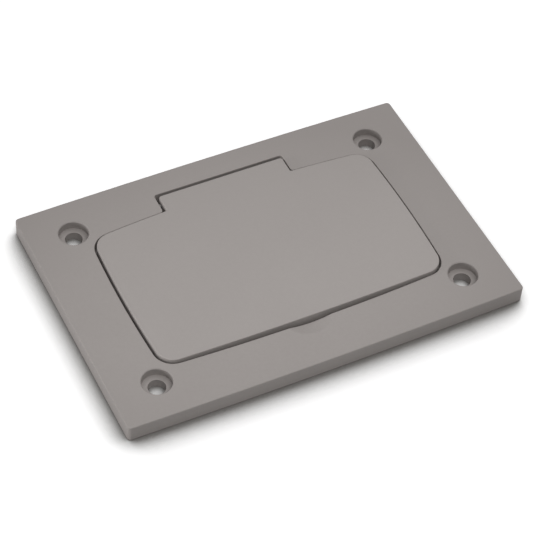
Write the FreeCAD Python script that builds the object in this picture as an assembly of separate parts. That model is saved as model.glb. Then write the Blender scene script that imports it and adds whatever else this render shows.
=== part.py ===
"""Rectangular floor box cover: a moulded plate with a flip lid set in it.

Millimetres, +X along the plate's long side, +Y towards the hinge, +Z up.
The origin is at the middle of the underside. The thumb scoop is on the -Y side.
"""
import FreeCAD, Part
import math
import os

from FreeCAD import Vector

UP = Vector(0, 0, 1)
ALONG = Vector(1, 0, 0)
ORIGIN = Vector(0, 0, 0)

# Plate: its long sides bow out very slightly
plate_length = 133.4
plate_width = 90.1
plate_height = 5.8
plate_side_bow_radius = 3700.0
plate_corner_radius = 1.2
plate_top_edge_radius = 0.4
plate_foot_chamfer = 0.25

# Well that the lid lies in: all four of its sides bow gently outwards
end_deck_width = 17.15
front_deck_width = 15.55
well_length = plate_length - 2 * end_deck_width
well_width = plate_width - 2 * front_deck_width
well_floor_thickness = 2.3
well_side_bow_radius = 380.0
well_front_bow_radius = 710.0
well_back_bow_radius = 480.0
well_corner_radius = 6.5
well_edge_chamfer = 0.1
shoulder_corner_radius = 1.0

# Lid: it stands a little proud of the plate, so that a finger can catch its front edge
lid_gap = 0.8
lid_front_gap = 1.3
lid_front_bow_radius = 1400.0
lid_thickness = 3.9
lid_stand = 1.0
lid_edge_radius = 0.3
lid_rim_width = 4.0
lid_core_depth = 2.0
lid_rib_thickness = 1.2
lid_core_columns = 4
lid_core_rows = 2
lid_core_corner_radius = 0.8

# Hinge tab at the lid's back edge, and the pocket that it turns in
tab_width = 43.65
deck_behind_tab = 10.35
tab_back = plate_width / 2 - deck_behind_tab
tab_corner_radius = 1.0
tab_root_radius = 0.5
tab_side_gap = 0.8
tab_back_gap = 1.8
pocket_floor_thickness = 1.0
pocket_front_clearance = 0.5

# Hinge: two stub pins, tight in the tab's knuckles and running in the plate's cheeks
pin_radius = 1.0
pin_length = 14.0
pin_end_chamfer = 0.2
pin_setback = 1.8
pin_rise = 1.0
pin_seat_clearance = 0.02
pin_running_clearance = 0.05
pin_end_clearance = 0.5
knuckle_radius = 1.7
knuckle_length = 10.8
cheek_length = 4.4
pin_channel_clearance = 0.15
pin_channel_spare = 0.8

# Thumb scoop in the plate, in front of the lid
scoop_width = 15.0
scoop_reach = 4.7
scoop_depth = 0.9

# Opening in the well floor for the wiring device, with a drip rim around it
device_length = 67.6
device_width = 34.0
device_corner_radius = 3.0
drip_rim_width = 1.5
drip_rim_height = 0.5

# Lid seal: a rubber ring in a groove of the well floor
lid_seal_inset = 1.6
lid_seal_groove_width = 2.6
lid_seal_groove_depth = 0.6
lid_seal_side_clearance = 0.05
lid_seal_squeeze_gap = 0.1

# Four counterbored holes for the fixing screws
screw_from_end = 14.7
screw_from_front = 13.25
screw_spacing_x = plate_length - 2 * screw_from_end
screw_spacing_y = plate_width - 2 * screw_from_front
screw_hole_radius = 2.8
counterbore_radius = 4.75
counterbore_depth = 2.9
counterbore_edge_chamfer = 0.25

# Floor seal: a foam ring in a groove under the flange
floor_seal_inset = 3.6
floor_seal_groove_width = 3.0
floor_seal_groove_depth = 2.0
floor_seal_corner_radius = 3.0
floor_seal_side_clearance = 0.05
floor_seal_recess = 0.1

# Cores under the thick deck, between ribs
core_depth = 3.2
core_wall = 1.7
core_rib_thickness = 1.6
core_corner_radius = 0.7
core_boss_wall = 2.0
side_core_count = 3
front_core_count = 4

# Modelling limits
OVERCUT = 1.0
TOUCHING = 1e-4
SMOOTH_ANGLE = math.radians(5)
SOLVER_STEPS = 20

# Places that several pieces share
well_half_length = well_length / 2
well_half_width = well_width / 2
lid_top = plate_height + lid_stand
lid_base = lid_top - lid_thickness
tab_half = tab_width / 2
pocket_half = tab_half + tab_side_gap
pocket_back = tab_back + tab_back_gap
pin_y = tab_back - pin_setback
pin_z = lid_base + pin_rise
pocket_front = pin_y - knuckle_radius - pocket_front_clearance
pin_outer_end = pocket_half + cheek_length - pin_end_clearance
pin_inner_end = pin_outer_end - pin_length


def sag(radius, reach):
    """Depth of an arc of this radius at this distance from its middle."""
    return radius - math.sqrt(radius * radius - reach * reach)


def crossing(half_length, reach_y, side_bow, end_bow):
    """Point where a bowed side and a bowed end cross, in the +X quarter."""
    x, y = half_length, reach_y
    for _ in range(SOLVER_STEPS):
        x = half_length - sag(side_bow, y)
        y = reach_y - sag(end_bow, x)
    return x, y


def corner_arc(half_length, reach_y, side_bow, end_bow, radius):
    """Start on the side, middle and end on the end of the arc that rounds this corner."""
    x, y = crossing(half_length - radius, reach_y - radius, side_bow - radius, end_bow - radius)
    centre = Vector(x, y, 0)
    along_side = (centre - Vector(half_length - side_bow, 0, 0)).normalize()
    along_end = (centre - Vector(0, reach_y - end_bow, 0)).normalize()
    halfway = (along_side + along_end).normalize()
    return [centre + direction * radius for direction in (along_side, halfway, along_end)]


def flipped(point, x=1, y=1):
    """The point on the other side of the middle in the directions given as -1."""
    return Vector(point.x * x, point.y * y, 0)


def path(points):
    """Arc through three points, or straight line between two."""
    curve = Part.Arc if len(points) == 3 else Part.LineSegment
    return curve(*points).toShape()


def bowed_outline(half_length, front, back, side_bow, front_bow, back_bow, corner, tab=None):
    """Closed wire of four bowed sides with round corners.

    A tab, if given as half width and reach, stands square out of the back.
    """
    back_corner = corner_arc(half_length, back, side_bow, back_bow, corner)
    front_corner = [
        flipped(point, y=-1)
        for point in corner_arc(half_length, front, side_bow, front_bow, corner)
    ]
    back_end, front_end = back_corner[-1], front_corner[-1]
    half = [front_corner, [front_corner[0], Vector(half_length, 0, 0), back_corner[0]], back_corner]
    across = [[front_end, Vector(0, -front, 0), flipped(front_end, x=-1)]]
    if tab is None:
        across.append([back_end, Vector(0, back, 0), flipped(back_end, x=-1)])
    else:
        tab_x, tab_y = tab
        middle_x = (back_end.x + tab_x) / 2
        middle, root = [Vector(x, back - sag(back_bow, x), 0) for x in (middle_x, tab_x)]
        tip = Vector(tab_x, tab_y, 0)
        half += [[back_end, middle, root], [root, tip]]
        across.append([tip, flipped(tip, x=-1)])
    other_half = [[flipped(point, x=-1) for point in points] for points in half]
    edges = [path(points) for points in half + other_half + across]
    return Part.Wire(Part.sortEdges(edges)[0])


def prism(wire, bottom, top):
    """Upright solid with this outline."""
    base = Part.Face(wire)
    base.translate(Vector(0, 0, bottom))
    return base.extrude(Vector(0, 0, top - bottom))


def is_sharp(solid, edge):
    """Whether the faces on the two sides of an edge meet at an angle."""
    middle = edge.valueAt((edge.FirstParameter + edge.LastParameter) / 2)
    first, second = [
        face.normalAt(*face.Surface.parameter(middle))
        for face in solid.ancestorsOfType(edge, Part.Face)
    ]
    return first.getAngle(second) > SMOOTH_ANGLE


def upright_edges(solid, wanted=lambda foot: True):
    """The solid's sharp vertical edges whose foot is wanted."""
    found = []
    for edge in solid.Edges:
        if len(edge.Vertexes) != 2:
            continue
        low, high = edge.Vertexes[0].Point, edge.Vertexes[1].Point
        is_upright = math.hypot(high.x - low.x, high.y - low.y) < TOUCHING
        if is_upright and wanted(low) and is_sharp(solid, edge):
            found.append(edge)
    return found


def edges_at_height(solid, height, wanted=lambda box: True):
    """The solid's edges that lie flat at this height and whose bounds are wanted."""
    found = []
    for edge in solid.Edges:
        box = edge.BoundBox
        is_flat = abs(box.ZMin - height) < TOUCHING and abs(box.ZMax - height) < TOUCHING
        if is_flat and wanted(box):
            found.append(edge)
    return found


def round_tab_corners(solid, tip_radius, root_radius, tab_reach):
    """Round the upright edges of a tab, at its tip and at its root."""
    for radius, wanted in (
        (tip_radius, lambda foot: foot.y > tab_reach - tip_radius),
        (root_radius, lambda foot: foot.y < tab_reach - tip_radius),
    ):
        solid = solid.makeFillet(radius, upright_edges(solid, wanted))
    return solid


def well_prism(inset, bottom, top):
    """The well's outline without its tab notch, drawn in by an inset, as a solid."""
    wire = bowed_outline(
        well_half_length - inset, well_half_width - inset, well_half_width - inset,
        well_side_bow_radius - inset, well_front_bow_radius - inset, well_back_bow_radius - inset,
        well_corner_radius - inset,
    )
    return prism(wire, bottom, top)


def notched_well(bottom, top):
    """The whole well, with its notch for the hinge tab."""
    wire = bowed_outline(
        well_half_length, well_half_width, well_half_width,
        well_side_bow_radius, well_front_bow_radius, well_back_bow_radius,
        well_corner_radius, tab=(pocket_half, pocket_back),
    )
    solid = prism(wire, bottom, top)
    return round_tab_corners(solid, tab_corner_radius, shoulder_corner_radius, pocket_back)


def box(x_range, y_range, z_range):
    """Block between three pairs of limits."""
    (x0, x1), (y0, y1), (z0, z1) = x_range, y_range, z_range
    return Part.makeBox(x1 - x0, y1 - y0, z1 - z0, Vector(x0, y0, z0))


def rounded_block(x_range, y_range, z_range, radius):
    """Block with rounded upright edges."""
    solid = box(x_range, y_range, z_range)
    return solid.makeFillet(radius, upright_edges(solid))


def centred_block(length, width, bottom, top, radius):
    """Rounded block centred on the plate."""
    half_x, half_y = length / 2, width / 2
    return rounded_block((-half_x, half_x), (-half_y, half_y), (bottom, top), radius)


def rod(radius, start, end, y, z):
    """Round bar along X."""
    return Part.makeCylinder(radius, end - start, Vector(start, y, z), ALONG)


def both_sides(solid):
    """A solid and its mirror image across the middle of the plate."""
    return [solid, solid.mirror(ORIGIN, ALONG)]


def spans(low, high, count, rib):
    """Equal lengths between low and high, with a rib between neighbours."""
    size = (high - low - rib * (count - 1)) / count
    return [(low + i * (size + rib), low + i * (size + rib) + size) for i in range(count)]


def plate_outline():
    """Closed wire of the plate's two bowed long sides and its straight ends."""
    half_x, half_y = plate_length / 2, plate_width / 2
    corner = Vector(half_x, half_y - sag(plate_side_bow_radius, half_x), 0)
    edges = []
    for y in (-1, 1):
        edges.append(path([flipped(corner, -1, y), Vector(0, y * half_y, 0), flipped(corner, 1, y)]))
    for x in (-1, 1):
        edges.append(path([flipped(corner, x, -1), flipped(corner, x, 1)]))
    return Part.Wire(Part.sortEdges(edges)[0])


def plate_blank():
    """Plain plate with rounded corners, a softened top edge and a chamfered foot."""
    blank = prism(plate_outline(), 0, plate_height)
    blank = blank.makeFillet(plate_corner_radius, upright_edges(blank))
    blank = blank.makeFillet(plate_top_edge_radius, edges_at_height(blank, plate_height))
    return blank.makeChamfer(plate_foot_chamfer, edges_at_height(blank, 0))


def thumb_scoop():
    """Shallow dish cut by a ball, deepest where it meets the well's front wall."""
    half = scoop_width / 2
    behind_wall = (half * half - scoop_reach * scoop_reach) / (2 * scoop_reach)
    dish_radius = behind_wall + scoop_reach
    ball_radius = half * half / (2 * scoop_depth)
    centre = Vector(
        0,
        behind_wall - well_half_width,
        plate_height + math.sqrt(ball_radius * ball_radius - dish_radius * dish_radius),
    )
    return Part.makeSphere(ball_radius, centre)


def hinge_pocket():
    """Deep part of the tab's notch, which leaves room for the knuckles."""
    reach = box(
        (-plate_length / 2, plate_length / 2), (pocket_front, plate_width / 2),
        (pocket_floor_thickness, well_floor_thickness + OVERCUT),
    )
    return notched_well(pocket_floor_thickness, well_floor_thickness + OVERCUT).common(reach)


def pin_ways():
    """Bore through each cheek, and beyond it the open channel that the pin is fed in from."""
    mouth = pocket_half + cheek_length
    far = mouth + pin_length + pin_channel_spare
    bore = rod(pin_radius + pin_running_clearance, pocket_half - OVERCUT, mouth + OVERCUT, pin_y, pin_z)
    channel_radius = pin_radius + pin_channel_clearance
    channel = rod(channel_radius, mouth, far, pin_y, pin_z)
    slot = box((mouth, far), (pin_y - channel_radius, pin_y + channel_radius), (-OVERCUT, pin_z))
    return both_sides(bore.fuse([channel, slot]))


def screw_holes():
    """Counterbored holes at the corners of the screw pattern."""
    seat = plate_height - counterbore_depth
    holes = []
    for x in (-screw_spacing_x / 2, screw_spacing_x / 2):
        for y in (-screw_spacing_y / 2, screw_spacing_y / 2):
            hole = Part.makeCylinder(screw_hole_radius, plate_height, Vector(x, y, -OVERCUT), UP)
            head = Part.makeCylinder(counterbore_radius, plate_height, Vector(x, y, seat), UP)
            holes.append(hole.fuse(head))
    return holes


def deck_cores():
    """Rows of cores in the underside, along both ends and the front of the well."""
    end_limit = plate_length / 2 - floor_seal_inset - floor_seal_groove_width - core_wall
    front_limit = plate_width / 2 - floor_seal_inset - floor_seal_groove_width - core_wall
    boss = counterbore_radius + core_boss_wall
    side_reach = screw_spacing_y / 2 - boss
    front_reach = screw_spacing_x / 2 - boss
    depth = (-OVERCUT, core_depth)
    cores = []
    for y_range in spans(-side_reach, side_reach, side_core_count, core_rib_thickness):
        x_range = (well_half_length + core_wall, end_limit)
        cores += both_sides(rounded_block(x_range, y_range, depth, core_corner_radius))
    for x_range in spans(-front_reach, front_reach, front_core_count, core_rib_thickness):
        y_range = (-front_limit, -well_half_width - core_wall)
        cores.append(rounded_block(x_range, y_range, depth, core_corner_radius))
    return cores


def ring_under_flange(side_clearance, bottom, top):
    """Rounded rectangular ring in the floor seal's groove, drawn in by a clearance."""
    outer_inset = floor_seal_inset + side_clearance
    inner_inset = floor_seal_inset + floor_seal_groove_width - side_clearance
    outer, inner = [
        centred_block(
            plate_length - 2 * inset, plate_width - 2 * inset, bottom, top,
            floor_seal_corner_radius + floor_seal_inset + floor_seal_groove_width - inset,
        )
        for inset in (outer_inset, inner_inset)
    ]
    return outer.cut(inner)


def ring_in_well(side_clearance, bottom, top):
    """Ring that follows the well's wall in the lid seal's groove, drawn in by a clearance."""
    outer = well_prism(lid_seal_inset + side_clearance, bottom, top)
    inner = well_prism(lid_seal_inset + lid_seal_groove_width - side_clearance, bottom, top)
    return outer.cut(inner)


def cover_frame():
    """The moulded plate."""
    well = notched_well(well_floor_thickness, plate_height + OVERCUT)
    plate = plate_blank().cut(well)
    inside_plate = plate_length / 2 - 2 * plate_corner_radius
    well_edges = edges_at_height(
        plate, plate_height,
        lambda bounds: max(-bounds.XMin, bounds.XMax) < inside_plate
        and max(-bounds.YMin, bounds.YMax) < pocket_back + plate_top_edge_radius,
    )
    plate = plate.makeChamfer(well_edge_chamfer, well_edges)
    plate = plate.cut(screw_holes())
    rim_edges = [
        edge for edge in edges_at_height(plate, plate_height)
        if isinstance(edge.Curve, Part.Circle) and abs(edge.Curve.Radius - counterbore_radius) < TOUCHING
    ]
    plate = plate.makeChamfer(counterbore_edge_chamfer, rim_edges)
    plate = plate.cut([thumb_scoop(), hinge_pocket()] + pin_ways())
    rim = centred_block(
        device_length + 2 * drip_rim_width, device_width + 2 * drip_rim_width,
        well_floor_thickness - drip_rim_height, well_floor_thickness + drip_rim_height,
        device_corner_radius + drip_rim_width,
    )
    opening = centred_block(
        device_length, device_width, -OVERCUT, plate_height, device_corner_radius,
    )
    groove_floor = well_floor_thickness - lid_seal_groove_depth
    seal_groove = ring_in_well(0, groove_floor, plate_height)
    plate = plate.fuse(rim).cut([opening, seal_groove])
    plate = plate.cut(deck_cores() + [ring_under_flange(0, -OVERCUT, floor_seal_groove_depth)])
    return plate


def lid_cores():
    """Grid of cores in the lid's underside, which leaves its rim and ribs."""
    inset = lid_gap + lid_rim_width
    field = well_prism(inset, lid_base - OVERCUT, lid_base + lid_core_depth)
    half_x, half_y = well_half_length - inset, well_half_width - inset
    cores = []
    for x_range in spans(-half_x, half_x, lid_core_columns, lid_rib_thickness):
        for y_range in spans(-half_y, half_y, lid_core_rows, lid_rib_thickness):
            cell = box(x_range, y_range, (lid_base - OVERCUT, lid_base + lid_core_depth))
            core = field.common(cell)
            cores.append(core.makeFillet(lid_core_corner_radius, upright_edges(core)))
    return cores


def flip_lid():
    """The moulded lid with its tab, knuckles and cored underside."""
    wire = bowed_outline(
        well_half_length - lid_gap, well_half_width - lid_front_gap, well_half_width - lid_gap,
        well_side_bow_radius - lid_gap, lid_front_bow_radius, well_back_bow_radius - lid_gap,
        well_corner_radius - lid_gap, tab=(tab_half, tab_back),
    )
    lid = prism(wire, lid_base, lid_top)
    lid = round_tab_corners(lid, tab_corner_radius, tab_root_radius, tab_back)
    lid = lid.makeFillet(lid_edge_radius, edges_at_height(lid, lid_top))
    knuckle = rod(knuckle_radius, tab_half - knuckle_length, tab_half, pin_y, pin_z)
    seat = rod(
        pin_radius + pin_seat_clearance, pin_inner_end - pin_end_clearance, tab_half + OVERCUT,
        pin_y, pin_z,
    )
    lid = lid.fuse(both_sides(knuckle)).cut(both_sides(seat))
    return lid.cut(lid_cores())


def hinge_pin():
    """Stub pin of the right-hand end, with chamfered ends."""
    pin = rod(pin_radius, pin_inner_end, pin_outer_end, pin_y, pin_z)
    ends = [edge for edge in pin.Edges if isinstance(edge.Curve, Part.Circle)]
    return pin.makeChamfer(pin_end_chamfer, ends)


def lid_seal():
    """Rubber ring that the closed lid's rim meets."""
    bottom = well_floor_thickness - lid_seal_groove_depth
    return ring_in_well(lid_seal_side_clearance, bottom, lid_base - lid_seal_squeeze_gap)


def floor_seal():
    """Foam ring under the flange."""
    return ring_under_flange(floor_seal_side_clearance, floor_seal_recess, floor_seal_groove_depth)


def build():
    """Every piece by its node name."""
    pin_right, pin_left = both_sides(hinge_pin())
    return {
        "cover_frame": cover_frame(),
        "flip_lid": flip_lid(),
        "hinge_pin_left": pin_left,
        "hinge_pin_right": pin_right,
        "lid_seal": lid_seal(),
        "floor_seal": floor_seal(),
    }


os.makedirs("parts", exist_ok=True)
for name, shape in build().items():
    shape.exportStep("parts/" + name + ".step")
    bounds = shape.BoundBox
    print(
        name, "solids", len(shape.Solids), "valid", shape.isValid(), "volume", round(shape.Volume, 1),
        "z", round(bounds.ZMin, 2), round(bounds.ZMax, 2),
    )
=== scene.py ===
"""Floor box cover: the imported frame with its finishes, on a white floor in soft studio light.

Metres, in the frame's own axes: +X along the plate, +Y towards the hinge, +Z up.
"""

import math

import bpy
from mathutils import Matrix, Vector

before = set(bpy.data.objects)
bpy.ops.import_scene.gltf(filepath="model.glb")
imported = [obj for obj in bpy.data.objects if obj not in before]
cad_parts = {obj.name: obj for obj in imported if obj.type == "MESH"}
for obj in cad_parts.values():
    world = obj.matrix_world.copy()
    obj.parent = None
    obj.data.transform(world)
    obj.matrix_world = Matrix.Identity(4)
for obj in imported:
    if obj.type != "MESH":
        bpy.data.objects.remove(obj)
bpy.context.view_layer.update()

MM = 0.001

# Camera: a long lens above the front left, leaning a little
CAMERA_AT = Vector((-206.9, -365.4, 484.1)) * MM
CAMERA_AIM = Vector((-1.16, -4.14, 2.9)) * MM
CAMERA_LEAN = math.radians(4.634)
CAMERA_LENS = 136.35
SENSOR = 36.0

# Surroundings: how bright the board looks, and how much light it gives back to the cover
FLOOR_HALF = 4.0
WORLD_LIGHT = 0.20
BOARD_WHITE = 1.36
BOARD_BOUNCE = 0.51

# Painted shade on the board close to the cover, deeper than the real shadow the lamps cast: its
# colour, its reach in mm and the way it leans
PAINTED_CONTACT_SHADE = "#6f6c69"
CONTACT_REACH = 16.0
CONTACT_LEAN = (0.29, 0.53, 1.0)

# Openness at which that painted shade is full and gone, in the plate's holes and out in the open.
# The board counts as in the holes up to these distances from the middle, in mm.
PLATE_INSIDE = (60.0, 38.0)
HOLE_SHADE = (0.24, 0.62)
OPEN_SHADE = (0.40, 0.90)


def linear(hex_colour):
    """sRGB hex value as linear red, green, blue and alpha."""
    channels = [int(hex_colour[i:i + 2], 16) / 255 for i in (1, 3, 5)]
    return [c / 12.92 if c <= 0.04045 else ((c + 0.055) / 1.055) ** 2.4 for c in channels] + [1.0]


def grey(level):
    """Linear grey of this level, which may pass 1."""
    return (level, level, level, 1.0)


def add(tree, kind, values=None, **settings):
    """New node with its settings; each value is a constant or an output to link from."""
    node = tree.nodes.new(kind)
    for name, value in settings.items():
        setattr(node, name, value)
    for name, value in (values or {}).items():
        if isinstance(value, bpy.types.NodeSocket):
            tree.links.new(value, node.inputs[name])
        else:
            node.inputs[name].default_value = value
    return node


def new_material(name):
    """Empty node material."""
    material = bpy.data.materials.new(name)
    material.use_nodes = True
    material.node_tree.nodes.clear()
    return material, material.node_tree


def moulded_plastic(name, light, dark, falloff_shade, middle, reach, roughness):
    """Rigid PVC from a spark-eroded mould: dead matt, with a very fine grain.

    Its colour wanders a shade over some centimetres, as filler flows that way in the mould. Away from
    the middle it darkens towards a set darker tone: painted shade, standing in for light that falls
    off away from the front left; middle and reach are in mm.
    The grain and specks are drawn coarser than the real tenth of a millimetre, so that they show.
    """
    grain_size = 0.45
    speck_size = 0.9
    flow_size = 28.0
    gloss_spread = 0.04
    material, tree = new_material(name)
    place = add(tree, "ShaderNodeTexCoord").outputs["Object"]
    flow = add(tree, "ShaderNodeTexNoise", {
        "Vector": place, "Scale": 1 / (flow_size * MM), "Detail": 2.0, "Roughness": 0.5,
    })
    speck = add(tree, "ShaderNodeTexNoise", {
        "Vector": place, "Scale": 1 / (speck_size * MM), "Detail": 3.0, "Roughness": 0.6,
    })
    grain = add(tree, "ShaderNodeTexNoise", {
        "Vector": place, "Scale": 1 / (grain_size * MM), "Detail": 2.0, "Roughness": 0.7,
    })
    shade = add(tree, "ShaderNodeMath", {0: flow.outputs[0], 1: speck.outputs[0]}, operation="ADD")
    spread = add(tree, "ShaderNodeMapRange", {
        "Value": shade.outputs[0], "From Min": 0.7, "From Max": 1.3,
    })
    mottle = add(tree, "ShaderNodeMix", {
        0: spread.outputs[0], 6: linear(dark), 7: linear(light),
    }, data_type="RGBA")
    from_middle = add(tree, "ShaderNodeMapping", {
        "Vector": place,
        "Location": (-middle[0] / reach[0], -middle[1] / reach[1], 0.0),
        "Scale": (1 / (reach[0] * MM), 1 / (reach[1] * MM), 0.0),
    }).outputs[0]
    painted_falloff = add(tree, "ShaderNodeVectorMath", {
        0: from_middle, 1: from_middle,
    }, operation="DOT_PRODUCT")
    # Painted shade: the colour darkens away from the middle, in place of light falling off there.
    colour = add(tree, "ShaderNodeMix", {
        0: painted_falloff.outputs["Value"], 6: mottle.outputs[2], 7: linear(falloff_shade),
    }, data_type="RGBA")
    gloss = add(tree, "ShaderNodeMapRange", {
        "Value": grain.outputs[0], "From Min": 0.3, "From Max": 0.7,
        "To Min": roughness - gloss_spread, "To Max": roughness + gloss_spread,
    })
    relief = add(tree, "ShaderNodeBump", {
        "Height": grain.outputs[0], "Strength": 0.25, "Distance": 0.02 * MM,
    })
    surface = add(tree, "ShaderNodeBsdfPrincipled", {
        "Base Color": colour.outputs[2], "Roughness": gloss.outputs[0],
        "Normal": relief.outputs[0], "IOR": 1.5,
    })
    add(tree, "ShaderNodeOutputMaterial", {"Surface": surface.outputs[0]})
    return material


def ground_steel(name):
    """Stainless pin, centreless ground: fine rings round it, so its shine runs along it.

    Its colour is a dull dark grey, darker than ground steel: painted shade, as the photograph's gap
    shows no bright metal at the tab's ends.
    The rings are drawn coarser than real grinding marks, so that they show.
    """
    ring_spacing = 0.15
    material, tree = new_material(name)
    place = add(tree, "ShaderNodeTexCoord").outputs["Object"]
    along = add(tree, "ShaderNodeMapping", {"Vector": place, "Scale": (1.0, 0.05, 0.05)})
    rings = add(tree, "ShaderNodeTexNoise", {
        "Vector": along.outputs[0], "Scale": 1 / (ring_spacing * MM), "Detail": 2.0,
    })
    gloss = add(tree, "ShaderNodeMapRange", {
        "Value": rings.outputs[0], "From Min": 0.3, "From Max": 0.7, "To Min": 0.32, "To Max": 0.48,
    })
    relief = add(tree, "ShaderNodeBump", {
        "Height": rings.outputs[0], "Strength": 0.2, "Distance": 0.005 * MM,
    })
    # Painted shade: the steel's colour is darkened so that the pin stays dark in the gap.
    surface = add(tree, "ShaderNodeBsdfPrincipled", {
        "Base Color": linear("#7e7c7a"), "Metallic": 1.0, "Roughness": gloss.outputs[0],
        "Normal": relief.outputs[0],
    })
    add(tree, "ShaderNodeOutputMaterial", {"Surface": surface.outputs[0]})
    return material


def moulded_rubber(name):
    """EPDM ring, compression moulded: near black, dull, with a bloom that greys it in patches."""
    bloom_size = 3.0
    grain_size = 0.3
    material, tree = new_material(name)
    place = add(tree, "ShaderNodeTexCoord").outputs["Object"]
    bloom = add(tree, "ShaderNodeTexNoise", {
        "Vector": place, "Scale": 1 / (bloom_size * MM), "Detail": 4.0, "Roughness": 0.6,
    })
    grain = add(tree, "ShaderNodeTexNoise", {"Vector": place, "Scale": 1 / (grain_size * MM)})
    colour = add(tree, "ShaderNodeMix", {
        0: bloom.outputs[0], 6: linear("#161616"), 7: linear("#2b2a29"),
    }, data_type="RGBA")
    relief = add(tree, "ShaderNodeBump", {
        "Height": grain.outputs[0], "Strength": 0.3, "Distance": 0.02 * MM,
    })
    surface = add(tree, "ShaderNodeBsdfPrincipled", {
        "Base Color": colour.outputs[2], "Roughness": 0.75,
        "Normal": relief.outputs[0], "IOR": 1.5,
    })
    add(tree, "ShaderNodeOutputMaterial", {"Surface": surface.outputs[0]})
    return material


def closed_cell_foam_rubber(name):
    """Closed-cell foam rubber, split from a block: cut bubbles pit its dull black face."""
    cell_size = 0.5
    material, tree = new_material(name)
    place = add(tree, "ShaderNodeTexCoord").outputs["Object"]
    cells = add(tree, "ShaderNodeTexVoronoi", {"Vector": place, "Scale": 1 / (cell_size * MM)})
    colour = add(tree, "ShaderNodeMix", {
        0: cells.outputs["Distance"], 6: linear("#191919"), 7: linear("#363636"),
    }, data_type="RGBA")
    relief = add(tree, "ShaderNodeBump", {
        "Height": cells.outputs["Distance"], "Strength": 0.6, "Distance": 0.1 * MM,
    })
    surface = add(tree, "ShaderNodeBsdfPrincipled", {
        "Base Color": colour.outputs[2], "Roughness": 0.9,
        "Normal": relief.outputs[0], "IOR": 1.5,
    })
    add(tree, "ShaderNodeOutputMaterial", {"Surface": surface.outputs[0]})
    return material


def finish_frame():
    """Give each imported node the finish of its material."""
    finishes = {
        # The frame's and the lid's colours darken away from a point at the front left: painted shade
        # for the light's fall-off.
        "cover_frame": moulded_plastic(
            "moulded_pvc_frame", light="#a09a97", dark="#9b9592", falloff_shade="#8f8986",
            middle=(-12.0, -11.0), reach=(92.0, 66.0), roughness=0.62,
        ),
        "flip_lid": moulded_plastic(
            "moulded_pvc_lid", light="#a39d9a", dark="#a09a97", falloff_shade="#928c89",
            middle=(-30.0, -20.0), reach=(180.0, 82.0), roughness=0.6,
        ),
        "lid_seal": moulded_rubber("moulded_epdm_rubber"),
        "floor_seal": closed_cell_foam_rubber("closed_cell_foam_rubber"),
    }
    steel = ground_steel("ground_stainless_steel")
    finishes["hinge_pin_left"] = finishes["hinge_pin_right"] = steel
    for node, material in finishes.items():
        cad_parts[node].data.materials.clear()
        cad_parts[node].data.materials.append(material)


def seen_ray(tree):
    """1 for rays from the camera, a reflection or a clear piece, and 0 for those that light things."""
    path = add(tree, "ShaderNodeLightPath").outputs
    direct = add(tree, "ShaderNodeMath", {
        0: path["Is Camera Ray"], 1: path["Is Glossy Ray"],
    }, operation="MAXIMUM")
    return add(tree, "ShaderNodeMath", {
        0: direct.outputs[0], 1: path["Is Transmission Ray"],
    }, operation="MAXIMUM").outputs[0]


def white_floor():
    """Matt white board that the cover lies on; it keeps the cover's soft shadow.

    Close to the cover a painted shade darkens it further, more so on the side away from the light, and
    less so under the plate, where it shows through the holes.
    """
    mesh = bpy.data.meshes.new("floor")
    corners = [(-1, -1), (1, -1), (1, 1), (-1, 1)]
    mesh.from_pydata([(x * FLOOR_HALF, y * FLOOR_HALF, 0) for x, y in corners], [], [(0, 1, 2, 3)])
    floor = bpy.data.objects.new("floor", mesh)
    bpy.context.scene.collection.objects.link(floor)
    material, tree = new_material("matt_white_board")
    lean = Vector(CONTACT_LEAN).normalized()
    towards_light = add(tree, "ShaderNodeCombineXYZ", {0: lean.x, 1: lean.y, 2: lean.z})
    closeness = add(tree, "ShaderNodeAmbientOcclusion", {
        "Distance": CONTACT_REACH * MM, "Normal": towards_light.outputs[0],
    }, samples=16)
    place = add(tree, "ShaderNodeTexCoord").outputs["Object"]
    spread = add(tree, "ShaderNodeVectorMath", {0: place}, operation="ABSOLUTE")
    from_middle = add(tree, "ShaderNodeSeparateXYZ", {0: spread.outputs[0]}).outputs
    past_side, past_front = [
        add(tree, "ShaderNodeMath", {0: from_middle[i], 1: limit * MM}, operation="GREATER_THAN")
        for i, limit in enumerate(PLATE_INSIDE)
    ]
    outside = add(tree, "ShaderNodeMath", {
        0: past_side.outputs[0], 1: past_front.outputs[0],
    }, operation="MAXIMUM")
    darkest, lightest = [
        add(tree, "ShaderNodeMapRange", {
            "Value": outside.outputs[0], "To Min": in_hole, "To Max": in_open,
        }).outputs[0]
        for in_hole, in_open in zip(HOLE_SHADE, OPEN_SHADE)
    ]
    shade = add(tree, "ShaderNodeMapRange", {
        "Value": closeness.outputs["AO"], "From Min": darkest, "From Max": lightest,
    })
    # Painted shade: the colour the camera sees darkens where the board is closed in by the cover.
    colour = add(tree, "ShaderNodeMix", {
        0: shade.outputs[0], 6: linear(PAINTED_CONTACT_SHADE), 7: grey(BOARD_WHITE),
    }, data_type="RGBA")
    seen = add(tree, "ShaderNodeBsdfDiffuse", {"Color": colour.outputs[2]})
    lighting = add(tree, "ShaderNodeBsdfDiffuse", {"Color": grey(BOARD_BOUNCE)})
    surface = add(tree, "ShaderNodeMixShader", {
        0: seen_ray(tree), 1: lighting.outputs[0], 2: seen.outputs[0],
    })
    add(tree, "ShaderNodeOutputMaterial", {"Surface": surface.outputs[0]})
    mesh.materials.append(material)


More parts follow.
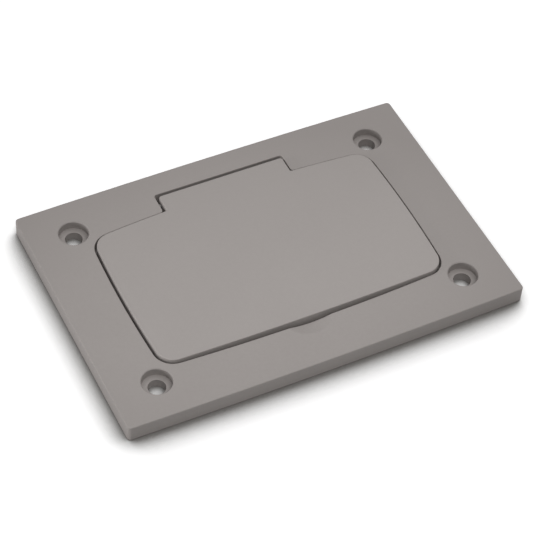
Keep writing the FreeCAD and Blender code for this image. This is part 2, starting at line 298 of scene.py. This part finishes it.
def white_surroundings():
    """Soft white light from all round, which the camera and reflections see as full white."""
    world = bpy.data.worlds.new("surroundings")
    bpy.context.scene.world = world
    world.use_nodes = True
    tree = world.node_tree
    tree.nodes.clear()
    dim = add(tree, "ShaderNodeBackground", {"Color": linear("#ffffff"), "Strength": WORLD_LIGHT})
    full = add(tree, "ShaderNodeBackground", {"Color": linear("#ffffff"), "Strength": 1.0})
    surface = add(tree, "ShaderNodeMixShader", {
        0: seen_ray(tree), 1: dim.outputs[0], 2: full.outputs[0],
    })
    add(tree, "ShaderNodeOutputWorld", {"Surface": surface.outputs[0]})


def softbox(name, azimuth, elevation, distance, size, level):
    """Square lamp facing the cover; azimuth 0 is in front of it and 90 at its right.

    The level is about how bright it makes a white matt face that is turned towards it.
    """
    data = bpy.data.lights.new(name, "AREA")
    data.shape = "SQUARE"
    data.size = size
    data.energy = level * math.pi * math.pi * distance ** 2
    lamp = bpy.data.objects.new(name, data)
    bpy.context.scene.collection.objects.link(lamp)
    turn, lift = math.radians(azimuth), math.radians(elevation)
    flat = math.cos(lift)
    towards = Vector((math.sin(turn) * flat, -math.cos(turn) * flat, math.sin(lift)))
    lamp.location = towards * distance
    lamp.rotation_mode = "QUATERNION"
    lamp.rotation_quaternion = towards.to_track_quat("Z", "Y")


def studio_light():
    """Large box high over the right side, a card low at the left and a smaller box high in front."""
    softbox("overhead_box", azimuth=112, elevation=73, distance=1.2, size=1.6, level=0.655)
    softbox("left_card", azimuth=-95, elevation=7, distance=1.5, size=0.36, level=0.39)
    softbox("front_box", azimuth=-20, elevation=52, distance=0.9, size=0.6, level=0.29)


def camera():
    """Camera of the photograph's view."""
    data = bpy.data.cameras.new("camera")
    data.lens = CAMERA_LENS
    data.sensor_width = SENSOR
    data.clip_start = 0.01
    data.clip_end = 50.0
    eye = bpy.data.objects.new("camera", data)
    bpy.context.scene.collection.objects.link(eye)
    aim = (CAMERA_AIM - CAMERA_AT).to_track_quat("-Z", "Y").to_matrix().to_4x4()
    eye.matrix_world = Matrix.Translation(CAMERA_AT) @ aim @ Matrix.Rotation(CAMERA_LEAN, 4, "Z")
    bpy.context.scene.camera = eye


finish_frame()
white_floor()
white_surroundings()
studio_light()
camera()
bpy.context.scene.view_settings.view_transform = "Standard"
